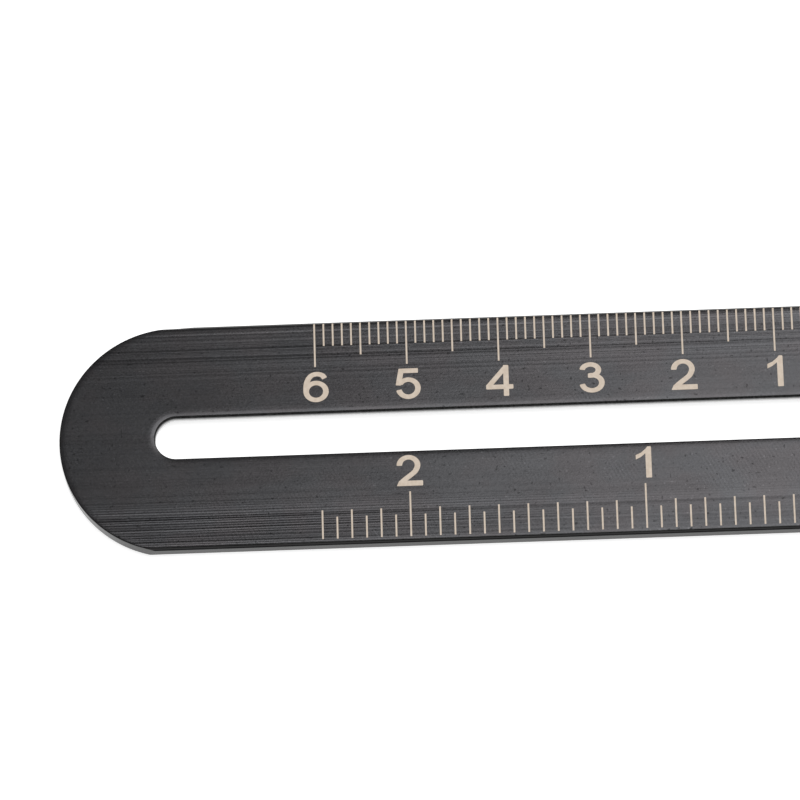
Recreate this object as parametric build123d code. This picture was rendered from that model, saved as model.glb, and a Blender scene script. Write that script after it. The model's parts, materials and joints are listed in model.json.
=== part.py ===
from build123d import *
from math import degrees, sqrt
import os

# A folding template ruler: four slotted bars clamped into a frame by a screw and a thumb nut at each corner.
# The frame lies flat. X runs along the front and rear arms, Y along the left and right arms, and Z is up.
# The origin is the middle of the footprint, on the surface that the screw heads stand on.
# All sizes are in millimetres.

# Arm: a flat extruded bar with bevelled long edges, a round cut at each end and two milled slots
arm_length = 250.0
arm_width = 25.0
arm_thickness = 1.8
edge_bevel = 0.3  # along the four long edges of the bar
end_cut_offset = 0.15  # the end cut sits this far towards the inch edge and meets it at a slight corner
slot_width = 4.8
slot_inset = 12.5  # from the tip of the arm to the centre of the slot's round end
slot_run = 90.0  # between the centres of the slot's round ends

# Screw: a low round head, a square neck that keys into the lower arm's slot, and a shank
shank_diameter = 4.0
head_diameter = 10.0
head_height = 1.6
neck_side = 4.6
neck_corner = 0.6
neck_height = 1.5

# Rings: a spacer between the two arms, and a washer under the nut
spacer_diameter = 10.0
spacer_thickness = 0.8
washer_diameter = 9.0
washer_thickness = 0.8

# Thumb nut: a collar below a grooved grip
nut_height = 8.0
collar_diameter = 10.0
collar_height = 1.4
grip_diameter = 15.0
grip_bevel = 0.7  # round the top of the grip
groove_count = 24
groove_width = 1.0
groove_depth = 0.5
tip_depth = 0.6  # of the screw's tip below the nut's top

# Clearances
face_gap = 0.05  # between flat faces that slide or turn on each other
bore_gap = 0.05  # between the shank and each bore round it
stop_gap = 0.15  # between the neck and the end of the slot, at the stop

# Heights worked out from the sizes
lower_arm_z = head_height + face_gap
spacer_z = lower_arm_z + arm_thickness + face_gap
upper_arm_z = spacer_z + spacer_thickness + face_gap
washer_z = upper_arm_z + arm_thickness + face_gap
nut_z = washer_z + washer_thickness + face_gap
screw_length = nut_z + nut_height - tip_depth

# Places worked out from the sizes: the square neck's corners meet the slot's round end before its middle does
slot_outer = arm_length / 2 - slot_inset
slot_inner = slot_outer - slot_run
neck_reach = sqrt(slot_width**2 - neck_side**2) / 2 - (neck_side / 2 - neck_corner)
left_x = neck_reach - stop_gap - slot_inner
right_x = neck_reach - stop_gap + slot_outer
front_y = -slot_outer
rear_y = slot_inner

corners = {
    "front_left": (left_x, front_y),
    "rear_left": (left_x, rear_y),
    "rear_right": (right_x, rear_y),
    "front_right": (right_x, front_y),
}

on_top = (Align.CENTER, Align.CENTER, Align.MIN)


def arm_outline():
    """The arm's plan: each end's arc runs smoothly into the centimetre edge and corners the inch edge."""
    half_width = arm_width / 2
    cut_radius = half_width + end_cut_offset
    smooth_x = arm_length / 2 - cut_radius
    corner_x = smooth_x + sqrt(cut_radius**2 - (half_width - end_cut_offset) ** 2)
    tip = (arm_length / 2, -end_cut_offset)
    right_end = ThreePointArc((corner_x, -half_width), tip, (smooth_x, half_width))
    inch_edge = Line((-corner_x, -half_width), (corner_x, -half_width))
    centimetre_edge = Line((smooth_x, half_width), (-smooth_x, half_width))
    return make_face([inch_edge, right_end, centimetre_edge, mirror(right_end, about=Plane.YZ)])


def arm():
    """One arm along X, with its lower face on Z = 0 and its centimetre edge towards +Y."""
    section = Rectangle(arm_width, arm_thickness)
    section = chamfer(section.vertices(), edge_bevel)
    bar = extrude(Plane.YZ * section, arm_length / 2, both=True)
    bar &= extrude(arm_outline(), arm_thickness, both=True)
    for side in (-1, 1):
        slot = Pos(side * (slot_inner + slot_outer) / 2, 0) * SlotCenterToCenter(slot_run, slot_width)
        bar -= extrude(slot, arm_thickness, both=True)
    return Pos(0, 0, arm_thickness / 2) * bar


def screw():
    """One screw, standing on its head."""
    head = Cylinder(head_diameter / 2, head_height, align=on_top)
    neck = Rectangle(neck_side, neck_side)
    neck = chamfer(neck.vertices(), neck_corner)
    neck = Pos(0, 0, head_height) * extrude(neck, neck_height)
    shank = Cylinder(shank_diameter / 2, screw_length, align=on_top)
    return head + neck + shank


def bore(length):
    """A hole through a piece that the shank passes up."""
    return Cylinder(shank_diameter / 2 + bore_gap, length, align=on_top)


def ring(diameter, thickness):
    """A flat ring on Z = 0, round the shank."""
    return Cylinder(diameter / 2, thickness, align=on_top) - bore(thickness)


def grip_outline():
    """The grip's section: a flat land and a V groove in turn, all the way round."""
    grip_radius = grip_diameter / 2
    half_groove = degrees(groove_width / grip_diameter)
    points = []
    for groove in range(groove_count):
        middle = 360 * groove / groove_count
        points.append(Vector(grip_radius, 0).rotate(Axis.Z, middle - half_groove))
        points.append(Vector(grip_radius - groove_depth, 0).rotate(Axis.Z, middle))
        points.append(Vector(grip_radius, 0).rotate(Axis.Z, middle + half_groove))
    return make_face(Polyline(*points, close=True))


def nut():
    """One thumb nut with the underside of its collar on Z = 0."""
    bevel_z = nut_height - grip_bevel
    outline = grip_outline()
    grip = Pos(0, 0, collar_height) * extrude(outline, bevel_z - collar_height)
    rim = scale(outline, 1 - 2 * grip_bevel / grip_diameter)
    bevel = loft([Pos(0, 0, bevel_z) * outline, Pos(0, 0, nut_height) * rim], ruled=True)
    collar = Cylinder(collar_diameter / 2, collar_height, align=on_top)
    return collar + grip + bevel - bore(nut_height)


arm_blank = arm()
upper_blank = Rot(0, 0, 90) * arm_blank
nodes = {
    "front_arm": Pos(0, front_y, lower_arm_z) * arm_blank,
    "rear_arm": Pos(0, rear_y, lower_arm_z) * arm_blank,
    "left_arm": Pos(left_x, 0, upper_arm_z) * upper_blank,
    "right_arm": Pos(right_x, 0, upper_arm_z) * upper_blank,
}

screw_blank = screw()
spacer_blank = ring(spacer_diameter, spacer_thickness)
washer_blank = ring(washer_diameter, washer_thickness)
nut_blank = nut()
for corner, (x, y) in corners.items():
    nodes[f"screw_{corner}"] = Pos(x, y, 0) * screw_blank
    nodes[f"spacer_{corner}"] = Pos(x, y, spacer_z) * spacer_blank
    nodes[f"washer_{corner}"] = Pos(x, y, washer_z) * washer_blank
    nodes[f"nut_{corner}"] = Pos(x, y, nut_z) * nut_blank

os.makedirs("parts", exist_ok=True)
for name, solid in nodes.items():
    export_step(solid, f"parts/{name}.step")
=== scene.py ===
import json
import math

import bmesh
import bpy
from mathutils import Matrix, Vector
from mathutils.geometry import delaunay_2d_cdt, tessellate_polygon


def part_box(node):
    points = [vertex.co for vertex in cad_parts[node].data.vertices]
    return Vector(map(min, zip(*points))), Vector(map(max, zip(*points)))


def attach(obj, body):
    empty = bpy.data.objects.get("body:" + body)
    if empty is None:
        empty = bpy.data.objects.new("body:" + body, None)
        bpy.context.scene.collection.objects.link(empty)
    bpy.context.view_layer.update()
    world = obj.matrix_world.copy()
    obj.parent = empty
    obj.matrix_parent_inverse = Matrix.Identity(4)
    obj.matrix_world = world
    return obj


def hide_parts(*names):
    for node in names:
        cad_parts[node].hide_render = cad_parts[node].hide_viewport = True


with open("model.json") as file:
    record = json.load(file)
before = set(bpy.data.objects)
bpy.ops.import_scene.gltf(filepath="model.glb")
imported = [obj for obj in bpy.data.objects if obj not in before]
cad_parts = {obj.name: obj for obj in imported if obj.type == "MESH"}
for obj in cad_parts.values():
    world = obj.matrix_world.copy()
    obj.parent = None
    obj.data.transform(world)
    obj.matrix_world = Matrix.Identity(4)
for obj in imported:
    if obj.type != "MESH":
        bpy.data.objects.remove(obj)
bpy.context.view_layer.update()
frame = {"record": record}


# ARMS
# Four flat bars of extruded aluminium, anodised black. The two slots and the round ends were cut after the
# extruding, so their rims are only slightly rounded, while the long edges keep the die's bevel.
MM = 0.001  # sizes are in millimetres, and become metres on their way into a mesh
BAR_WIDTH, BAR_THICKNESS = 25.12, 1.8
# The round end's radius, how far its middle lies beyond the slot's, and how far it was cut off to one side,
# at the lower face and at the upper one: the punch left the wall leaning.
END_AT_FOOT, END_AT_TOP = (12.7, 0.05, 0.26), (12.61, 0.13, 0.14)
END_PARTS, SIDE_START = 72, 2.0  # the long side starts this far from the middle of the round end
# The slot's width, and the middles of its two round ends, from the middle of the arm.
SLOT_WIDTH, SLOT_OUTER, SLOT_INNER = 4.74, 112.53, 22.47
SLOT_END_PARTS, SLOT_SLACK = 32, 0.05
# Each step down from a face: its depth, and how far it stands back at a bevelled long edge and at a cut rim.
EDGE_STEPS = ((0.0, 0.9, 0.85), (0.0, 0.5, 0.48), (0.007, 0.41, 0.37), (0.02, 0.32, 0.2), (0.035, 0.27, 0.07),
              (0.05, 0.24, 0.035), (0.065, 0.225, 0.02), (0.1, 0.195, 0.006), (0.15, 0.15, 0.0),
              (0.25, 0.05, 0.0), (0.27, 0.03, 0.0), (0.285, 0.012, 0.0), (0.31, 0.0, 0.0), (0.4, 0.0, 0.0))
LOWER_SHARE, EDGE_LEAN = 0.25, 0.03  # the lower edges are only lightly broken, and stand out a little
# A slot wall's normal is no more upright than the first, and a flat face's at least as upright as the second.
WALL_TILT, FACE_TILT, BAR_SHARP_BEND = 0.15, 0.985, math.radians(40)


def bar_outline(height, bevel_back, rim_back):
    """The bar's outline at one height, anticlockwise from the lower right corner."""
    share = 0.5 + height / BAR_THICKNESS
    edge = BAR_WIDTH / 2 + EDGE_LEAN * (1 - share) - bevel_back
    radius, beyond, aside = (foot + (top - foot) * share for foot, top in zip(END_AT_FOOT, END_AT_TOP))
    radius -= rim_back
    centre_x = SLOT_OUTER + beyond
    first = math.asin((aside - edge) / radius)
    last = math.asin(min(1.0, (aside + edge) / radius))
    turns = [first + (last - first) * part / END_PARTS for part in range(END_PARTS + 1)]
    right = [(centre_x + radius * math.cos(turn), radius * math.sin(turn) - aside) for turn in turns]
    right.append((centre_x - SIDE_START, edge))
    return right + [(-x, y) for x, y in reversed(right)]


def slot_outline(rim_back, side):
    """One slot's outline at one step, clockwise, wider at its rim than at its wall."""
    radius = SLOT_WIDTH / 2 + rim_back
    points = []
    for centre, start in ((SLOT_OUTER, 90), (SLOT_INNER, -90)):
        for part in range(SLOT_END_PARTS + 1):
            turn = math.radians(start - 180 * part / SLOT_END_PARTS)
            points.append((side * (centre + radius * math.cos(turn)), radius * math.sin(turn)))
    return points if side > 0 else points[::-1]


def keep_own_places(mesh):
    """Keep each point's place on the piece itself, in millimetres, for the finish to follow."""
    own = mesh.attributes.new("on_the_part", "FLOAT_VECTOR", "POINT")
    own.data.foreach_set("vector", [value / MM for point in mesh.vertices for value in point.co])


def bar_mesh(name, place):
    """A closed mesh of one bar, moved to its place, with its own coordinates kept for the finish."""
    levels = [(BAR_THICKNESS / 2 - depth, bevel_back, rim_back) for depth, bevel_back, rim_back in EDGE_STEPS]
    for step in reversed(EDGE_STEPS):
        depth, bevel_back, rim_back = (size * LOWER_SHARE for size in step)
        levels.append((depth - BAR_THICKNESS / 2, bevel_back, rim_back))
    points, faces, top_loops, bottom_loops = [], [], [], []
    for slot_side in (0, -1, 1):
        rings = []
        for height, bevel_back, rim_back in levels:
            if slot_side:
                outline = slot_outline(rim_back, slot_side)
            else:
                outline = bar_outline(height, bevel_back, rim_back)
            rings.append(range(len(points), len(points) + len(outline)))
            points.extend((x, y, height) for x, y in outline)
        for over, under in zip(rings, rings[1:]):
            for near in range(len(over)):
                far = (near + 1) % len(over)
                faces.append((over[near], under[near], under[far], over[far]))
        top_loops.append(rings[0])
        bottom_loops.append(rings[-1])
    for loops, up in ((top_loops, 1), (bottom_loops, -1)):
        corners = [corner for loop in loops for corner in loop]
        for triangle in tessellate_polygon([[Vector(points[corner]) for corner in loop] for loop in loops]):
            a, b, c = (corners[corner] for corner in triangle)
            facing = (Vector(points[b]) - Vector(points[a])).cross(Vector(points[c]) - Vector(points[a])).z
            faces.append((a, b, c) if facing * up > 0 else (a, c, b))
    mesh = bpy.data.meshes.new(name)
    mesh.from_pydata([Vector(point) * MM for point in points], [], faces)
    for face in mesh.polygons:
        x, y = abs(face.center.x) / MM, abs(face.center.y) / MM
        in_a_slot = x < SLOT_OUTER + SLOT_WIDTH and y < SLOT_WIDTH / 2 + SLOT_SLACK
        if in_a_slot and abs(face.normal.z) <= WALL_TILT:
            face.material_index = 2
        elif abs(face.normal.z) < FACE_TILT:
            face.material_index = 1
    keep_own_places(mesh)
    mesh.transform(place)
    mesh.shade_smooth()
    mesh.set_sharp_from_angle(angle=BAR_SHARP_BEND)
    return mesh


def node(tree, kind, sockets=None, **settings):
    """A new node with its settings, each socket given a plain value or joined to another node's output."""
    made = tree.nodes.new(kind)
    for setting, value in settings.items():
        setattr(made, setting, value)
    for socket, value in (sockets or {}).items():
        if isinstance(value, bpy.types.NodeSocket):
            tree.links.new(value, made.inputs[socket])
        else:
            made.inputs[socket].default_value = value
    return made


def maths(tree, operation, *values):
    """One step of arithmetic on plain values or other nodes' outputs."""
    return node(tree, "ShaderNodeMath", dict(enumerate(values)), operation=operation).outputs["Value"]


def finish(name, **values):
    """A new material with plain values on its shader's own sockets, and its tree and shader to build on."""
    material = bpy.data.materials.new(name)
    material.use_nodes = True
    shader = material.node_tree.nodes["Principled BSDF"]
    for socket, value in values.items():
        shader.inputs[socket.replace("_", " ")].default_value = value
    return material, material.node_tree, shader


def on_the_part(tree):
    """The piece's own coordinates in millimetres, which stay with it wherever the piece is."""
    return node(tree, "ShaderNodeAttribute", attribute_name="on_the_part").outputs["Vector"]


def streaks(tree, source, scale, detail=2.0):
    """Noise over a coordinate, with its own fineness along each axis."""
    drawn = node(tree, "ShaderNodeMapping", {"Vector": source, "Scale": scale}).outputs["Vector"]
    return node(tree, "ShaderNodeTexNoise", {"Vector": drawn, "Scale": 1.0, "Detail": detail}).outputs["Fac"]


def spread(tree, value, low, high, to_low, to_high):
    """The value moved from one range onto another and held inside it."""
    sockets = {"Value": value, "From Min": low, "From Max": high, "To Min": to_low, "To Max": to_high}
    return node(tree, "ShaderNodeMapRange", sockets).outputs["Result"]


def grey(tree, shade, tint=(1.0, 1.0, 1.0)):
    """A near-grey colour from one shade."""
    parts = {place: maths(tree, "MULTIPLY", shade, share) for place, share in enumerate(tint)}
    return node(tree, "ShaderNodeCombineColor", parts).outputs["Color"]


def blend(tree, share, first, second):
    """A colour between two others."""
    return node(tree, "ShaderNodeMix", {0: share, 6: first, 7: second}, data_type="RGBA").outputs[2]


def waves(tree, source, per_mm, wander, sway):
    """Even waves over a coordinate, from -1 to 1, swaying with the wander."""
    swayed = maths(tree, "MULTIPLY", wander, sway)
    return maths(tree, "SINE", maths(tree, "MULTIPLY_ADD", source, 2 * math.pi * per_mm, swayed))


def turned_by(tree, source, degrees):
    """A coordinate turned on the flat of the bar."""
    rotation = (0, 0, math.radians(degrees))
    return node(tree, "ShaderNodeMapping", {"Vector": source, "Rotation": rotation}).outputs["Vector"]


def relief(tree, shader, height, distance, strength=1.0):
    """Fine relief on the surface, at most as deep as the distance in metres."""
    bump = node(tree, "ShaderNodeBump", {"Height": height, "Distance": distance, "Strength": strength})
    tree.links.new(bump.outputs["Normal"], shader.inputs["Normal"])


DIE_RIPPLES, CHATTER_RIPPLES = 3.6, 2.6  # to the millimetre
CHATTER_TURN, SCRATCH_TURN = -28, 56  # degrees from the bar's length
MIDDLE_SHADE, DARKEST_SHADE, MIDDLE_ROUGHNESS, LINE_DEPTH = 0.046, 0.015, 0.24, 0.000003

anodised_bar, tree, shader = finish("black_anodised_bar", Metallic=1.0)
own = on_the_part(tree)
along, across, _ = node(tree, "ShaderNodeSeparateXYZ", {"Vector": own}).outputs
from_the_middle = maths(tree, "ABSOLUTE", along)

# Lines that the die drew along the bar, strongest beside its long edges. Toward the round ends they fade on
# the centimetre side and grow stronger on the inch side.
die_lines = spread(tree, streaks(tree, own, (0.002, 1.7, 1.7), 3.0), 0.35, 0.65, -1.0, 1.0)
fine_lines = spread(tree, streaks(tree, own, (0.006, 4.6, 4.6), 2.0), 0.35, 0.65, -1.2, 1.2)
drag_line = maths(tree, "SUBTRACT", streaks(tree, own, (0.001, 0.55, 0.55), 1.0), 0.5)
drag_line = spread(tree, maths(tree, "ABSOLUTE", drag_line), 0.0, 0.015, -1.3, 0.0)
wander = streaks(tree, own, (0.02, 0.5, 0.5), 2.0)
near_an_end = spread(tree, from_the_middle, 60.0, 105.0, 0.1, 1.3)
beside_the_inches = spread(tree, across, -7.5, -9.0, 0.0, 1.0)
ripple = maths(tree, "MULTIPLY", waves(tree, across, DIE_RIPPLES, wander, 9.0),
               maths(tree, "MULTIPLY", near_an_end, beside_the_inches))
lines = maths(tree, "ADD", maths(tree, "ADD", die_lines, fine_lines), maths(tree, "ADD", drag_line, ripple))
near_an_edge = spread(tree, maths(tree, "ABSOLUTE", across), 5.8, 8.8, 0.16, 1.0)
inch_side = spread(tree, from_the_middle, 60.0, 105.0, 0.55, 1.0)
cm_side = spread(tree, from_the_middle, 92.0, 118.0, 1.15, 0.65)
worn_side = spread(tree, across, -1.0, 1.0, inch_side, cm_side)
lines = maths(tree, "MULTIPLY", lines, maths(tree, "MULTIPLY", near_an_edge, worn_side))

# Grain, cloudy dye, pits, bright specks, and patches of leaning scratches and of chatter marks.
grain = spread(tree, streaks(tree, own, (4.5, 6.0, 6.0), 3.0), 0.3, 0.7, -1.0, 1.0)
grain = maths(tree, "MULTIPLY", grain, spread(tree, from_the_middle, 85.0, 118.0, 1.0, 0.68))
clouds = spread(tree, streaks(tree, own, (0.12, 0.35, 0.35), 3.0), 0.35, 0.65, -1.0, 1.0)
pits = spread(tree, streaks(tree, own, (3.0, 3.0, 3.0), 0.0), 0.2, 0.25, -0.02, 0.0)
specks = spread(tree, streaks(tree, own, (4.0, 4.0, 4.0), 0.0), 0.79, 0.84, 0.0, 0.02)
leaning = turned_by(tree, own, SCRATCH_TURN)
scratches = spread(tree, streaks(tree, leaning, (0.35, 5.0, 5.0), 2.0), 0.7, 0.78, 0.0, 0.02)
scratched = spread(tree, streaks(tree, own, (0.05, 0.1, 0.1), 1.0), 0.5, 0.6, 0.0, 1.0)
scratches = maths(tree, "MULTIPLY", scratches, scratched)
chatter_way = node(tree, "ShaderNodeSeparateXYZ", {"Vector": turned_by(tree, own, CHATTER_TURN)}).outputs["X"]
chattered = spread(tree, streaks(tree, own, (0.09, 0.2, 0.2), 2.0), 0.53, 0.62, 0.0, 1.0)
chatter = maths(tree, "MULTIPLY", waves(tree, chatter_way, CHATTER_RIPPLES, wander, 4.0), chattered)

shade = maths(tree, "MULTIPLY_ADD", lines, 0.009, MIDDLE_SHADE)
shade = maths(tree, "MULTIPLY_ADD", clouds, 0.0025, maths(tree, "MULTIPLY_ADD", grain, 0.007, shade))
shade = maths(tree, "MULTIPLY_ADD", chatter, 0.003, shade)
shade = maths(tree, "ADD", maths(tree, "ADD", shade, pits), maths(tree, "ADD", specks, scratches))
shade = maths(tree, "MAXIMUM", shade, DARKEST_SHADE)
dye_patches = spread(tree, streaks(tree, own, (0.2, 0.3, 0.3), 3.0), 0.4, 0.6, 0.0, 1.0)
cool, warm = grey(tree, shade, (0.985, 0.985, 1.035)), grey(tree, shade, (1.02, 0.975, 1.015))
tree.links.new(blend(tree, dye_patches, cool, warm), shader.inputs["Base Color"])
dulled = maths(tree, "MULTIPLY_ADD", lines, 0.018, maths(tree, "MULTIPLY_ADD", grain, 0.02, MIDDLE_ROUGHNESS))
tree.links.new(dulled, shader.inputs["Roughness"])
relief(tree, shader, maths(tree, "MULTIPLY_ADD", grain, 0.3, lines), LINE_DEPTH, 0.8)

anodised_edge, tree, shader = finish("black_anodised_edge", Specular_IOR_Level=0.155)
scuffs = spread(tree, streaks(tree, on_the_part(tree), (0.4, 3.0, 3.0), 4.0), 0.45, 0.8, 0.005, 0.015)
tree.links.new(grey(tree, scuffs), shader.inputs["Base Color"])
tree.links.new(spread(tree, scuffs, 0.005, 0.015, 0.18, 0.26), shader.inputs["Roughness"])

# The milled wall of a slot is bright bare metal toward its foot, and painted shade darkens it toward the top,
# under the rim.
SHADE_PAINTED_ABOVE, BRIGHT_BELOW = 0.36, -0.6
slot_wall, tree, shader = finish("milled_slot_wall_painted_shade", Specular_IOR_Level=0.0, Roughness=0.3)
own = on_the_part(tree)
down_the_wall = node(tree, "ShaderNodeSeparateXYZ", {"Vector": own}).outputs["Z"]
cutter_marks = spread(tree, streaks(tree, own, (3.0, 3.0, 0.3), 3.0), 0.3, 0.7, -0.03, 0.03)
# Painted shade: the base colour goes from near black at the top of the wall to bright bare metal at its foot.
bare_metal_and_painted_shade = maths(tree, "ADD", spread(tree, down_the_wall, SHADE_PAINTED_ABOVE, BRIGHT_BELOW, 0.04, 0.6), cutter_marks)
tree.links.new(spread(tree, down_the_wall, SHADE_PAINTED_ABOVE, BRIGHT_BELOW, 0.0, 1.0), shader.inputs["Metallic"])
tree.links.new(grey(tree, bare_metal_and_painted_shade), shader.inputs["Base Color"])

arm_places = {}
for arm, quarter_turns in (("front_arm", 0), ("rear_arm", 0), ("left_arm", 1), ("right_arm", 1)):
    low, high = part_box(arm)
    turn = Matrix.Rotation(math.radians(90 * quarter_turns), 4, "Z")
    arm_places[arm] = Matrix.Translation((low + high) / 2) @ turn
    bar = bpy.data.objects.new(f"{arm}_bar", bar_mesh(f"{arm}_bar", arm_places[arm]))
    bpy.context.scene.collection.objects.link(bar)
    bar.data.materials.append(anodised_bar)
    bar.data.materials.append(anodised_edge)
    bar.data.materials.append(slot_wall)
    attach(bar, arm)
    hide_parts(arm)


# PRINTED SCALES
# Cream ink, printed on the upper face: centimetres along one edge and inches along the other, twice on each
# arm, from a zero near its middle out to its ends. The centimetre marks start on the bevel.
INK = 0.012  # its thickness
MARK_WIDTH = 0.185
CM, INCH = 10.0, 25.4
CM_ZERO, CM_STEP, CM_MARKS = 37.3, CM / 10, 61
INCH_ZERO, INCH_STEP, INCH_MARKS = 36.53, INCH / 16, 39
CM_SHORT, CM_MIDDLE, CM_LONG = 2.73, 3.84, 5.1
INCH_SHORT, INCH_MIDDLE, INCH_LONG = 2.45, 3.2, 5.0
FLAT_START = 0.61  # how far from the edge the marks are on the flat
BEVEL_PATH = [(back, -depth) for depth, back, _ in EDGE_STEPS[8:1:-1]]
SLANT, SLANTED_BELOW = 0.7, -0.04  # where the ink stands off the bevel at a slant
FACE = BAR_THICKNESS / 2


def mark_strip(side, over_the_bevel, length):
    """One short mark as a thin closed strip, its inner end named so that it can be drawn out."""
    edge = side * BAR_WIDTH / 2
    if over_the_bevel:
        line = [*BEVEL_PATH, (FLAT_START, 0.0), (length, 0.0)]
    else:
        line = [(FLAT_START, 0.0), (FLAT_START + length, 0.0)]
    path = [Vector((0.0, edge - side * back, FACE + height)) for back, height in line]
    upright = Vector((0.0, 0.0, INK))
    slanted = Vector((0.0, side * INK * SLANT, INK * SLANT))
    lift = [slanted if height < SLANTED_BELOW else upright for _, height in line]
    half = Vector((MARK_WIDTH / 2, 0.0, 0.0))
    points, faces = [], []
    for place, rise in zip(path, lift):
        points += [place - half, place + half, place + half + rise, place - half + rise]
    last = len(points) - 4
    for start in range(0, last, 4):
        for a, b in ((0, 1), (1, 2), (2, 3), (3, 0)):
            faces.append((start + a, start + b, start + 4 + b, start + 4 + a))
    faces += [(0, 3, 2, 1), (last, last + 1, last + 2, last + 3)]
    if side < 0:
        faces = [face[::-1] for face in faces]
    mesh = bpy.data.meshes.new("mark_strip")
    mesh.from_pydata([point * MM for point in points], [], faces)
    inner = mesh.attributes.new("inner_end", "FLOAT", "POINT")
    inner.data.foreach_set("value", [float(corner >= last) for corner in range(len(points))])
    return mesh


def group_tree(name, inputs):
    """A Geometry Nodes tree with named inputs, and its first and last nodes."""
    tree = bpy.data.node_groups.new(name, "GeometryNodeTree")
    tree.interface.new_socket("Geometry", in_out="INPUT", socket_type="NodeSocketGeometry")
    for label, kind in inputs:
        tree.interface.new_socket(label, in_out="INPUT", socket_type=f"NodeSocket{kind}")
    tree.interface.new_socket("Geometry", in_out="OUTPUT", socket_type="NodeSocketGeometry")
    return tree, node(tree, "NodeGroupInput").outputs, node(tree, "NodeGroupOutput")


def close_tree(tree, geometry, material, end):
    """The last nodes of a tree: everything real, and of one material."""
    real = node(tree, "GeometryNodeRealizeInstances", {"Geometry": geometry}).outputs["Geometry"]
    coloured = node(tree, "GeometryNodeSetMaterial", {"Geometry": real, "Material": material})
    tree.links.new(coloured.outputs["Geometry"], end.inputs["Geometry"])


row_of_marks, given, end = group_tree("row_of_marks", (
    ("Marks", "Int"), ("First", "Vector"), ("Step", "Vector"), ("Middle every", "Int"), ("Long every", "Int"),
    ("Middle longer by", "Vector"), ("Long longer by", "Vector"), ("Ink", "Material")))
tree = row_of_marks
line = node(tree, "GeometryNodeMeshLine", {
    "Count": given["Marks"], "Start Location": given["First"], "Offset": given["Step"]}).outputs["Mesh"]
count = node(tree, "GeometryNodeInputIndex").outputs["Index"]
is_middle = maths(tree, "COMPARE", maths(tree, "MODULO", count, given["Middle every"]), 0.0, 0.1)
is_long = maths(tree, "COMPARE", maths(tree, "MODULO", count, given["Long every"]), 0.0, 0.1)
longer = node(tree, "ShaderNodeVectorMath", {
    0: given["Middle longer by"], "Scale": is_middle}, operation="SCALE").outputs["Vector"]
longer = node(tree, "GeometryNodeSwitch", {
    "Switch": is_long, "False": longer, "True": given["Long longer by"]}, input_type="VECTOR")
line = node(tree, "GeometryNodeStoreNamedAttribute", {
    "Geometry": line, "Name": "longer_by", "Value": longer.outputs["Output"]},
    data_type="FLOAT_VECTOR", domain="POINT")
marks = node(tree, "GeometryNodeInstanceOnPoints", {
    "Points": line.outputs["Geometry"], "Instance": given["Geometry"]}).outputs["Instances"]
marks = node(tree, "GeometryNodeRealizeInstances", {"Geometry": marks}).outputs["Geometry"]
inner_end = node(tree, "GeometryNodeInputNamedAttribute", {"Name": "inner_end"}, data_type="FLOAT")
longer_by = node(tree, "GeometryNodeInputNamedAttribute", {"Name": "longer_by"}, data_type="FLOAT_VECTOR")
drawn_out = node(tree, "ShaderNodeVectorMath", {
    0: longer_by.outputs["Attribute"], "Scale": inner_end.outputs["Attribute"]}, operation="SCALE")
marks = node(tree, "GeometryNodeSetPosition", {"Geometry": marks, "Offset": drawn_out.outputs["Vector"]})
close_tree(tree, marks.outputs["Geometry"], given["Ink"], end)


def grown(tree, mesh, values):
    """The plain mesh that a tree makes out of a starting mesh and the values of its named inputs."""
    start = bpy.data.objects.new("start", mesh)
    bpy.context.scene.collection.objects.link(start)
    modifier = start.modifiers.new("nodes", "NODES")
    modifier.node_group = tree
    for item in tree.interface.items_tree:
        if item.in_out == "INPUT" and item.name in values:
            modifier[item.identifier] = values[item.name]
    evaluated = start.evaluated_get(bpy.context.evaluated_depsgraph_get())
    made = bpy.data.meshes.new_from_object(evaluated)
    bpy.data.objects.remove(start)
    return made


def marks_mesh(side, half, ink):
    """One row of marks, on the centimetre or inch side of one half of an arm."""
    if side > 0:
        strip, zero, step, marks = mark_strip(side, True, CM_SHORT), CM_ZERO, CM_STEP, CM_MARKS
        middle_every, long_every, middle, long = 5, 10, CM_MIDDLE - CM_SHORT, CM_LONG - CM_SHORT
    else:
        strip, zero, step, marks = mark_strip(side, False, INCH_SHORT), INCH_ZERO, INCH_STEP, INCH_MARKS
        middle_every, long_every, middle, long = 2, 16, INCH_MIDDLE - INCH_SHORT, INCH_LONG - INCH_SHORT
    return grown(row_of_marks, strip, {
        "Marks": marks, "First": (half * zero * MM, 0.0, 0.0), "Step": (half * step * MM, 0.0, 0.0),
        "Middle every": middle_every, "Middle longer by": (0.0, -side * middle * MM, 0.0),
        "Long every": long_every, "Long longer by": (0.0, -side * long * MM, 0.0), "Ink": ink})


# Half the pen's width, across an upright stroke and up a level one, and a blunted end's length and share.
PEN_ACROSS, PEN_UP, BLUNT_LENGTH, BLUNT_SHARE = 0.305, 0.252, 0.07, 0.8
ARC_STEP, SMOOTH_PARTS, MELT_WITHIN = 6, 6, 0.0001
CM_DIGIT_FOOT, INCH_DIGIT_FOOT, CM_DIGIT_ASIDE = 3.43, -6.33, 0.04


def arc(centre, reach, start, stop):
    """Points of an elliptic arc between two angles in degrees."""
    parts = max(4, int(abs(stop - start) / ARC_STEP))
    turns = [math.radians(start + (stop - start) * part / parts) for part in range(parts + 1)]
    x, y = centre
    across, up = reach
    return [Vector((x + across * math.cos(turn), y + up * math.sin(turn))) for turn in turns]


def smooth_line(*corners):
    """Points of a smooth line through the corners."""
    ends = [Vector(corner) for corner in (corners[0], *corners, corners[-1])]
    points = [ends[1]]
    for a, b, c, d in zip(ends, ends[1:], ends[2:], ends[3:]):
        for part in range(1, SMOOTH_PARTS + 1):
            t = part / SMOOTH_PARTS
            points.append(0.5 * (2 * b + (c - a) * t + (2 * a - 5 * b + 4 * c - d) * t**2
                                 + (3 * b - a - 3 * c + d) * t**3))
    return points


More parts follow.
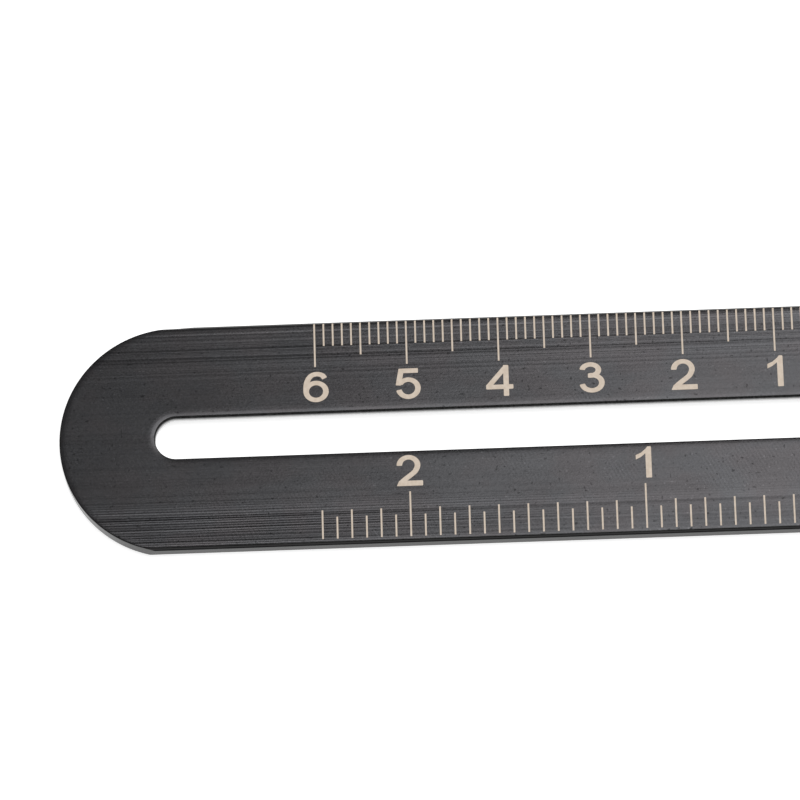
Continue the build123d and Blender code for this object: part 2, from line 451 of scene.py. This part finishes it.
def stroke(points):
    """One pen stroke as short four-cornered steps, with slightly blunted ends."""
    before, after = [points[0], *points[:-1]], [*points[1:], points[-1]]
    alongs = [(ahead - behind).normalized() for behind, ahead in zip(before, after)]
    alongs = [alongs[0], *alongs, alongs[-1]]
    blunted = points[0] + alongs[0] * BLUNT_LENGTH, points[-1] - alongs[-1] * BLUNT_LENGTH
    middles = [points[0], blunted[0], *points[1:-1], blunted[1], points[-1]]
    shares = [BLUNT_SHARE] + [1.0] * len(points) + [BLUNT_SHARE]
    sides = []
    for middle, along, share in zip(middles, alongs, shares):
        aside = Vector((-along.y * PEN_ACROSS, along.x * PEN_UP)) * share
        sides.append((middle + aside, middle - aside))
    return [[right, next_right, next_left, left]
            for (left, right), (next_left, next_right) in zip(sides, sides[1:])]


def digit_outlines(digit):
    """The overlapping outlines that one digit is drawn with, all anticlockwise, its foot on zero."""
    if digit == 0:
        return stroke(arc((0, 1.75), (1.04, 1.46), 0, 364))
    if digit == 1:
        return [[(0.12, 0.05), (0.17, 0.0), (0.7, 0.0), (0.75, 0.05), (0.75, 3.42), (0.68, 3.5), (0.36, 3.5),
                 (0.12, 3.2)],
                [(0.13, 3.22), (-0.35, 2.82), (-0.93, 2.56), (-0.93, 2.06), (-0.4, 2.32), (0.13, 2.74)]]
    if digit == 2:
        bowl = arc((-0.1, 2.33), (0.98, 0.88), 183, -20)
        fall = smooth_line(bowl[-1], (0.6, 1.62), (0.2, 1.27), (-0.2, 0.97), (-0.6, 0.66), (-0.92, 0.36))
        foot = [(-1.4, 0.06), (-1.34, 0.0), (1.37, 0.0), (1.43, 0.06), (1.43, 0.52), (1.37, 0.58),
                (-1.15, 0.58)]
        return stroke(bowl + fall[1:]) + [foot]
    if digit == 3:
        upper = arc((-0.14, 2.59), (0.88, 0.63), 176, -90) + [Vector((-0.42, 1.97))]
        lower = [Vector((-0.3, 1.98))] + arc((0.0, 1.14), (1.07, 0.86), 95, -172)
        return stroke(upper) + stroke(lower)
    if digit == 4:
        return [[(0.4, 0.06), (0.46, 0.0), (0.92, 0.0), (0.98, 0.06), (0.98, 3.42), (0.9, 3.5), (0.4, 3.5)],
                [(-1.5, 0.85), (-1.44, 0.79), (1.4, 0.79), (1.46, 0.85), (1.46, 1.24), (1.4, 1.3),
                 (-1.5, 1.3)],
                [(0.5, 3.5), (-1.5, 1.24), (-1.5, 1.1), (-0.88, 1.12), (0.42, 2.6), (0.7, 3.5)]]
    if digit == 5:
        return stroke(arc((0.05, 1.26), (1.04, 0.97), 150, -170)) + [
            [(-0.9, 2.98), (1.1, 2.98), (1.14, 3.03), (1.14, 3.45), (1.1, 3.5), (-0.92, 3.5), (-0.97, 3.45)],
            [(-0.97, 3.45), (-1.31, 1.68), (-1.27, 1.62), (-0.78, 1.58), (-0.58, 2.35), (-0.42, 3.2)]]
    back = smooth_line((0.97, 2.7), (0.78, 3.0), (0.45, 3.17), (0.03, 3.21), (-0.42, 3.08), (-0.78, 2.72),
                       (-0.99, 2.2), (-1.06, 1.7), (-1.06, 1.25))
    return stroke(arc((0.01, 1.25), (1.07, 0.96), 0, 364)) + stroke(back)


def digit_mesh(digit):
    """One digit as a thin closed slab of ink, its outlines melted into one."""
    outlines = digit_outlines(digit)
    flat = [Vector(point) for outline in outlines for point in outline]
    shapes, first = [], 0
    for outline in outlines:
        shape = list(range(first, first + len(outline)))
        turning = sum(flat[a].cross(flat[b]) for a, b in zip(shape, shape[1:] + shape[:1]))
        shapes.append(shape if turning > 0 else shape[::-1])
        first += len(outline)
    points, _, triangles, _, _, sources = delaunay_2d_cdt(flat, [], shapes, 1, MELT_WITHIN)
    slab = bmesh.new()
    corners = [slab.verts.new((point.x, point.y, 0.0)) for point in points]
    for triangle, source in zip(triangles, sources):
        if source:
            slab.faces.new([corners[corner] for corner in triangle])
    loose = [corner for corner in slab.verts if not corner.link_faces]
    bmesh.ops.delete(slab, geom=loose, context="VERTS")
    risen = bmesh.ops.extrude_face_region(slab, geom=slab.faces[:])["geom"]
    upper = [part for part in risen if isinstance(part, bmesh.types.BMVert)]
    bmesh.ops.translate(slab, verts=upper, vec=(0, 0, INK))
    bmesh.ops.recalc_face_normals(slab, faces=slab.faces[:])
    mesh = bpy.data.meshes.new(f"digit_{digit}")
    slab.to_mesh(mesh)
    slab.free()
    return mesh


def join(name, pieces):
    """One mesh out of several, each first moved by its own matrix."""
    joined = bmesh.new()
    for mesh, place in pieces:
        moved = mesh.copy()
        moved.transform(place)
        joined.from_mesh(moved)
    mesh = bpy.data.meshes.new(name)
    joined.to_mesh(mesh)
    joined.free()
    return mesh


ink, tree, shader = finish("cream_ink", Roughness=0.6)
place = node(tree, "ShaderNodeTexCoord").outputs["Object"]
patches = spread(tree, streaks(tree, place, (2500, 2500, 2500), 3.0), 0.35, 0.65, 0.0, 1.0)
thinner, thicker = (0.66, 0.55, 0.44, 1), (0.74, 0.63, 0.52, 1)
tree.links.new(blend(tree, patches, thinner, thicker), shader.inputs["Base Color"])

print_pieces = []
for half in (-1, 1):
    for side in (-1, 1):
        print_pieces.append((marks_mesh(side, half, ink), Matrix.Identity(4)))
digits = [digit_mesh(digit) for digit in range(7)]
for half in (-1, 1):
    for last, unit, zero, foot in ((6, CM, CM_ZERO - CM_DIGIT_ASIDE, CM_DIGIT_FOOT),
                                   (2, INCH, INCH_ZERO, INCH_DIGIT_FOOT)):
        for digit in range(last + 1):
            stand = Matrix.Translation(Vector((half * (zero + digit * unit), foot, FACE)) * MM)
            print_pieces.append((digits[digit], stand @ Matrix.Scale(MM, 4)))
print_on_a_bar = join("print_on_a_bar", print_pieces)

for arm, place in arm_places.items():
    printed = bpy.data.objects.new(f"{arm}_print", print_on_a_bar.copy())
    printed.data.transform(place)
    printed.data.materials.clear()
    printed.data.materials.append(ink)
    bpy.context.scene.collection.objects.link(printed)
    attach(printed, arm)


# SCREWS
# Zinc-plated steel, cold-headed: a thin round head, a square neck that slides in the lower arm's slot and
# can't turn there, and a rolled thread up to a blunted tip.
SHANK, BORE, HEAD = 2.0, 2.05, 5.0  # radii
THREAD_PITCH, THREAD_DEPTH = 0.7, 0.36
HEAD_HEIGHT, SHANK_START, THREAD_START, THREAD_END, SCREW_TOP = 1.6, 5.0, 5.2, 14.05, 14.45
NECK_SIDE, NECK_CORNER, NECK_HEIGHT, NECK_RIM, NECK_ROOT = 4.6, 0.6, 1.5, 0.12, 0.2
GROOVE_FOOT_ROUND, WELD_WITHIN, TURNED_SHARP_BEND = 0.2, 0.000002, math.radians(32)
CORNERS = ("front_left", "rear_left", "rear_right", "front_right")

turned_part, given, end = group_tree("turned_part", (
    ("Steps round", "Int"), ("Grooves", "Int"), ("Groove share", "Float"), ("Groove depth", "Float"),
    ("Thread pitch", "Float"), ("Thread depth", "Float"), ("Metal", "Material")))
tree = turned_part
profile = given["Geometry"]
rows = node(tree, "GeometryNodeAttributeDomainSize", {"Geometry": profile}).outputs["Point Count"]
columns = maths(tree, "ADD", given["Steps round"], 1)
sheet = node(tree, "GeometryNodeMeshGrid", {"Vertices X": columns, "Vertices Y": rows}).outputs["Mesh"]
count = node(tree, "GeometryNodeInputIndex").outputs["Index"]
row = maths(tree, "MODULO", count, rows)
step = maths(tree, "FLOOR", maths(tree, "DIVIDE", maths(tree, "ADD", count, 0.5), rows))
turn = maths(tree, "DIVIDE", maths(tree, "MULTIPLY", step, 2 * math.pi), given["Steps round"])
turns = maths(tree, "DIVIDE", step, given["Steps round"])


def on_profile(value, kind):
    """A value of the profile's point that this row of the sheet comes from."""
    return node(tree, "GeometryNodeSampleIndex", {"Geometry": profile, "Value": value, "Index": row},
                data_type=kind, domain="POINT").outputs["Value"]


def share_of_profile(name):
    """How far one named cut applies on this row, from 0 to 1."""
    named = node(tree, "GeometryNodeInputNamedAttribute", {"Name": name}, data_type="FLOAT")
    return on_profile(named.outputs["Attribute"], "FLOAT")


place = on_profile(node(tree, "GeometryNodeInputPosition").outputs["Position"], "FLOAT_VECTOR")
place = node(tree, "ShaderNodeSeparateXYZ", {"Vector": place}).outputs
round_the_grip = maths(tree, "FRACT", maths(tree, "MULTIPLY", turns, given["Grooves"]))
from_ridge = maths(tree, "ABSOLUTE", maths(tree, "SUBTRACT", round_the_grip, 0.5))
from_groove = maths(tree, "SUBTRACT", 0.5, from_ridge)
wedge = maths(tree, "SUBTRACT", 1.0, maths(tree, "DIVIDE", from_groove, given["Groove share"]))
wedge = maths(tree, "SMOOTH_MAX", wedge, 0.0, GROOVE_FOOT_ROUND)
groove = maths(tree, "MULTIPLY", wedge, given["Groove depth"])
groove = maths(tree, "MULTIPLY", groove, share_of_profile("grooved"))
up_the_thread = maths(tree, "SUBTRACT", maths(tree, "DIVIDE", place["Z"], given["Thread pitch"]), turns)
ridge = maths(tree, "ABSOLUTE", maths(tree, "MULTIPLY_ADD", maths(tree, "FRACT", up_the_thread), 2.0, -1.0))
thread = maths(tree, "MULTIPLY", ridge, given["Thread depth"])
thread = maths(tree, "MULTIPLY", thread, share_of_profile("threaded"))
radius = maths(tree, "SUBTRACT", maths(tree, "SUBTRACT", place["X"], groove), thread)
turned_place = node(tree, "ShaderNodeCombineXYZ", {
    "X": maths(tree, "MULTIPLY", radius, maths(tree, "COSINE", turn)),
    "Y": maths(tree, "MULTIPLY", radius, maths(tree, "SINE", turn)), "Z": place["Z"]}).outputs["Vector"]
shape = node(tree, "GeometryNodeSetPosition", {"Geometry": sheet, "Position": turned_place})
shape = node(tree, "GeometryNodeMergeByDistance", {
    "Geometry": shape.outputs["Geometry"], "Distance": WELD_WITHIN}).outputs["Geometry"]
close_tree(tree, shape, given["Metal"], end)


def turned(name, line, material, steps_round=96, **cuts):
    """A turned piece from its profile: radii and heights, and how far each is grooved and threaded."""
    points = [(*point, 0.0, 0.0)[:4] for point in line]
    profile_mesh = bpy.data.meshes.new(f"{name}_profile")
    chain = [(place, place + 1) for place in range(len(points) - 1)]
    profile_mesh.from_pydata([(point[0] * MM, 0.0, point[1] * MM) for point in points], chain, [])
    for cut, column in (("grooved", 2), ("threaded", 3)):
        shares = profile_mesh.attributes.new(cut, "FLOAT", "POINT")
        shares.data.foreach_set("value", [point[column] for point in points])
    values = {"Steps round": steps_round, "Grooves": 1, "Groove share": 1.0, "Groove depth": 0.0,
              "Thread pitch": THREAD_PITCH * MM, "Thread depth": 0.0, "Metal": material}
    values.update({label.replace("_", " "): value for label, value in cuts.items()})
    return grown(turned_part, profile_mesh, values)


def finished(name, pieces, material):
    """One closed mesh of a piece's forms, facing outwards, with its places kept and sharp edges marked."""
    mesh = join(name, [(piece, Matrix.Identity(4)) for piece in pieces])
    shell = bmesh.new()
    shell.from_mesh(mesh)
    bmesh.ops.recalc_face_normals(shell, faces=shell.faces[:])
    shell.to_mesh(mesh)
    shell.free()
    keep_own_places(mesh)
    mesh.materials.clear()
    mesh.materials.append(material)
    mesh.shade_smooth()
    mesh.set_sharp_from_angle(angle=TURNED_SHARP_BEND)
    return mesh


def fit(mesh, kind):
    """One copy of the mesh at each corner, in place of that corner's plain CAD piece."""
    for corner in CORNERS:
        plain = f"{kind}_{corner}"
        low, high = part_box(plain)
        piece = bpy.data.objects.new(f"{plain}_finished", mesh.copy())
        piece.data.transform(Matrix.Translation(((low.x + high.x) / 2, (low.y + high.y) / 2, low.z)))
        bpy.context.scene.collection.objects.link(piece)
        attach(piece, body_of[plain])
        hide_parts(plain)


def prism(name, outline, levels):
    """A closed straight-sided piece from its outline and levels, each a height and how far it is drawn in."""
    points, faces = [], []
    for height, drawn_in in levels:
        for x, y in outline:
            share = 1 - drawn_in / max(abs(x), abs(y))
            points.append((x * share * MM, y * share * MM, height * MM))
    count = len(outline)
    for level in range(len(levels) - 1):
        for near in range(count):
            far = (near + 1) % count
            base = level * count
            faces.append((base + near, base + far, base + count + far, base + count + near))
    faces += [tuple(range(count))[::-1], tuple(range(len(points) - count, len(points)))]
    mesh = bpy.data.meshes.new(name)
    mesh.from_pydata(points, [], faces)
    return mesh


def threaded_length(low, high, radius, per_pitch=6, fade_in=4, fade_out=3):
    """Profile points up a threaded length, its ends faded out."""
    count = round((high - low) / THREAD_PITCH * per_pitch)
    points = []
    for step in range(count + 1):
        share = min(1.0, step / fade_in, (count - step) / fade_out)
        points.append((radius, low + (high - low) * step / count, 0.0, share))
    return points


body_of = {}
for body, members in frame["record"]["behaviour"]["bodies"].items():
    for member in members:
        body_of[member] = body

zinc, tree, shader = finish("zinc_plated_steel", Metallic=1.0)
own = on_the_part(tree)
spangle = spread(tree, streaks(tree, own, (0.9, 0.9, 0.9), 4.0), 0.35, 0.65, 0.5, 0.62)
tree.links.new(grey(tree, spangle, (1.0, 0.99, 0.955)), shader.inputs["Base Color"])
dulled = spread(tree, streaks(tree, own, (5.0, 5.0, 5.0), 3.0), 0.3, 0.7, 0.24, 0.4)
tree.links.new(dulled, shader.inputs["Roughness"])
relief(tree, shader, streaks(tree, own, (3.0, 3.0, 3.0), 3.0), 0.00001, 0.3)

head_line = [(0, 0), (3.0, 0), (4.4, 0.02), (4.74, 0.1), (4.93, 0.28), (HEAD, 0.5), (HEAD, 1.3), (4.94, 1.48),
             (4.78, 1.58), (4.5, HEAD_HEIGHT), (2.2, HEAD_HEIGHT), (SHANK, 1.75), (SHANK, SHANK_START)]
tip_line = [(1.9, 14.12, 0.0, 0.6), (1.6, 14.42, 0.0, 0.0), (1.5, SCREW_TOP), (0.8, SCREW_TOP),
            (0, SCREW_TOP)]
screw_line = head_line + threaded_length(THREAD_START, THREAD_END, SHANK)[:-1] + tip_line
side, cut = NECK_SIDE / 2, NECK_SIDE / 2 - NECK_CORNER
neck_outline = [(side, -cut), (side, cut), (cut, side), (-cut, side), (-side, cut), (-side, -cut),
                (-cut, -side), (cut, -side)]
neck_top = HEAD_HEIGHT + NECK_HEIGHT
neck_levels = [(HEAD_HEIGHT - NECK_ROOT, 0.0), (neck_top - NECK_RIM, 0.0), (neck_top, NECK_RIM)]
screw_form = turned("screw", screw_line, zinc, Thread_depth=THREAD_DEPTH * MM)
fit(finished("screw", [screw_form, prism("neck", neck_outline, neck_levels)], zinc), "screw")


# SPACERS
# Rings of natural nylon between the two arms of each corner, loose on the screw's shank, so that the arms
# turn without rubbing. They are turned from rod, which leaves their faces faintly ringed.
def from_the_axis(tree, source):
    """How far a place lies from the axis that the piece was turned about."""
    level = node(tree, "ShaderNodeVectorMath", {0: source, 1: (1.0, 1.0, 0.0)}, operation="MULTIPLY")
    reach = node(tree, "ShaderNodeVectorMath", {0: level.outputs["Vector"]}, operation="LENGTH")
    return reach.outputs["Value"]


def tool_rings(tree, source, fineness):
    """Rings left by the turning tool."""
    height = node(tree, "ShaderNodeSeparateXYZ", {"Vector": source}).outputs["Z"]
    path = node(tree, "ShaderNodeCombineXYZ", {"X": from_the_axis(tree, source), "Y": height})
    return streaks(tree, path.outputs["Vector"], (fineness, fineness, 1.0), 2.0)


nylon, tree, shader = finish(
    "natural_nylon", Subsurface_Weight=0.15, Subsurface_Radius=(0.002, 0.0018, 0.0015))
own = on_the_part(tree)
rings = tool_rings(tree, own, 9.0)
cloud = spread(tree, streaks(tree, own, (0.5, 0.5, 0.5), 3.0), 0.3, 0.7, 0.68, 0.76)
tree.links.new(grey(tree, cloud, (1.0, 0.97, 0.9)), shader.inputs["Base Color"])
tree.links.new(spread(tree, rings, 0.3, 0.7, 0.4, 0.55), shader.inputs["Roughness"])
relief(tree, shader, rings, 0.000008, 0.5)

spacer_line = [(BORE, 0.12), (2.17, 0), (4.84, 0), (4.95, 0.05), (5.0, 0.16), (5.0, 0.64), (4.95, 0.75),
               (4.84, 0.8), (2.17, 0.8), (BORE, 0.68), (BORE, 0.12)]
fit(finished("spacer", [turned("spacer", spacer_line, nylon)], nylon), "spacer")


# WASHERS
# Rings stamped from zinc-plated sheet, rolled over at the upper rim by the punch and sharper at the lower
# one. Each lies between the upper arm and its thumb nut, and rises with the nut.
washer_line = [(BORE, 0.06), (2.1, 0), (4.42, 0), (4.48, 0.02), (4.5, 0.08), (4.5, 0.6), (4.45, 0.73),
               (4.34, 0.79), (4.2, 0.8), (2.3, 0.8), (2.14, 0.76), (BORE, 0.64), (BORE, 0.06)]
fit(finished("washer", [turned("washer", washer_line, zinc)], zinc), "washer")


# THUMB NUTS
# Turned from aluminium bar and anodised black: a plain collar, a grip with straight V grooves cut round it, a
# shallow dish in the top, and a hole right through that is threaded in its upper half.
COLLAR, GRIP, RUBBED_FROM = 5.0, 7.5, 7.38  # radii
COLLAR_TOP, NUT_TOP, HOLE_THREAD_START, HOLE_THREAD_END = 1.4, 8.0, 4.2, 7.5
GROOVES, GROOVE_WIDTH, GROOVE_DEPTH, STEPS_A_GROOVE = 24, 1.0, 0.5, 10

anodised_nut, tree, shader = finish("black_anodised_nut")
own = on_the_part(tree)
rings = tool_rings(tree, own, 8.0)
dye = spread(tree, streaks(tree, own, (1.5, 1.5, 1.5), 3.0), 0.3, 0.7, 0.01, 0.018)
rubbed = spread(tree, from_the_axis(tree, own), RUBBED_FROM, GRIP, 0.0, 0.02)
patchy = spread(tree, streaks(tree, own, (0.8, 0.8, 0.8), 4.0), 0.45, 0.7, 0.0, 1.0)
rubbed = maths(tree, "MULTIPLY", rubbed, patchy)
tree.links.new(grey(tree, maths(tree, "ADD", dye, rubbed)), shader.inputs["Base Color"])
tree.links.new(spread(tree, rings, 0.3, 0.7, 0.24, 0.36), shader.inputs["Roughness"])
relief(tree, shader, rings, 0.000006, 0.6)

hole_up = [(BORE, height, 0.0, -share)
           for _, height, _, share in threaded_length(HOLE_THREAD_START, HOLE_THREAD_END, BORE)]
nut_line = [(BORE, 0.45), (2.5, 0), (4.84, 0), (4.95, 0.04), (COLLAR, 0.15), (COLLAR, 1.25), (5.03, 1.35),
            (5.12, COLLAR_TOP), (6.7, COLLAR_TOP), (7.34, COLLAR_TOP, 1.0), (7.45, 1.44, 1.0),
            (GRIP, 1.55, 1.0), (GRIP, 7.2, 1.0), (7.47, 7.29, 1.0), (7.42, 7.37, 1.0), (6.92, 7.87, 1.0),
            (6.84, 7.93, 1.0), (6.72, 7.98, 1.0), (6.6, NUT_TOP, 1.0), (6.05, NUT_TOP), (5.95, 7.98),
            (5.7, 7.84), (5.55, 7.82), (3.2, 7.82), (3.06, 7.84), (2.94, 7.96), (2.82, NUT_TOP),
            (2.55, NUT_TOP), *reversed(hole_up), (BORE, 2.0), (BORE, 0.45)]
groove_share = GROOVE_WIDTH / 2 / (2 * math.pi * GRIP / GROOVES)
nut_form = turned("nut", nut_line, anodised_nut, steps_round=GROOVES * STEPS_A_GROOVE, Grooves=GROOVES,
                  Groove_share=groove_share, Groove_depth=GROOVE_DEPTH * MM, Thread_depth=THREAD_DEPTH * MM)
fit(finished("nut", [nut_form], anodised_nut), "nut")


# FLOOR AND LIGHT
# A wide sheet of white paper under the ruler, an even pale surround, and one large soft lamp above and to the
# right, turned so that the bars go from dark at their left end to lighter at the right.
PAPER_REACH, PAPER_GLOW, SURROUND_GLOW = 20, 0.75, 0.36  # the reach in metres
LAMP_SIDE, LAMP_POWER, LAMP_PLACE, LAMP_TURN = 0.8, 7.0, (0.239, -0.047, 1.0), math.radians(-34)

floor_mesh = bpy.data.meshes.new("floor")
floor_corners = [(x * PAPER_REACH, y * PAPER_REACH, 0) for x, y in ((-1, -1), (1, -1), (1, 1), (-1, 1))]
floor_mesh.from_pydata(floor_corners, [], [(0, 1, 2, 3)])
floor = bpy.data.objects.new("floor", floor_mesh)
bpy.context.scene.collection.objects.link(floor)
paper, tree, shader = finish("white_paper", Base_Color=(0.8, 0.8, 0.8, 1), Roughness=0.9,
                             Emission_Color=(1, 1, 1, 1))
seen_by = node(tree, "ShaderNodeLightPath").outputs
seen = maths(tree, "MAXIMUM", seen_by["Is Camera Ray"], seen_by["Is Glossy Ray"])
seen = maths(tree, "MAXIMUM", seen, seen_by["Is Transmission Ray"])
tree.links.new(maths(tree, "MULTIPLY", seen, PAPER_GLOW), shader.inputs["Emission Strength"])
floor_mesh.materials.append(paper)

surround = bpy.data.worlds.new("surround")
bpy.context.scene.world = surround
surround.use_nodes = True
background = surround.node_tree.nodes["Background"]
background.inputs["Color"].default_value = (1, 1, 1, 1)
background.inputs["Strength"].default_value = SURROUND_GLOW

lamp = bpy.data.lights.new("soft_lamp", "AREA")
lamp.shape = "RECTANGLE"
lamp.size, lamp.size_y = LAMP_SIDE, LAMP_SIDE
lamp.energy = LAMP_POWER
soft_lamp = bpy.data.objects.new("soft_lamp", lamp)
bpy.context.scene.collection.objects.link(soft_lamp)
soft_lamp.location = LAMP_PLACE
soft_lamp.rotation_euler = (0.0, 0.0, LAMP_TURN)


# CAMERA
# The photograph was taken from about half a metre away, looking steeply down. The camera's place, turns and
# focal length were found by fitting the scale's marks and the arm's outlines.
SENSOR_WIDTH, PICTURE_WIDTH = 36, 800  # in millimetres and in pixels
swung, raised, rolled = math.radians(5.032), math.radians(73.203), math.radians(-6.833)
distance, focal_pixels = 0.54468, 5017.3
target = Vector((-0.088153, -0.109119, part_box("front_arm")[1].z))
ahead, down = math.cos(raised), math.sin(raised)
forward = Vector((-math.sin(swung) * ahead, math.cos(swung) * ahead, -down))
level = Vector((math.cos(swung), math.sin(swung), 0))
up = level.cross(forward)
right = math.cos(rolled) * level + math.sin(rolled) * up
up = math.cos(rolled) * up - math.sin(rolled) * level
camera_data = bpy.data.cameras.new("camera")
camera_data.sensor_width = SENSOR_WIDTH
camera_data.lens = focal_pixels * SENSOR_WIDTH / PICTURE_WIDTH
camera = bpy.data.objects.new("camera", camera_data)
bpy.context.scene.collection.objects.link(camera)
camera.matrix_world = Matrix((right, up, -forward)).transposed().to_4x4()
camera.location = target - distance * forward
bpy.context.scene.camera = camera

bpy.context.scene.view_settings.view_transform = "Standard"
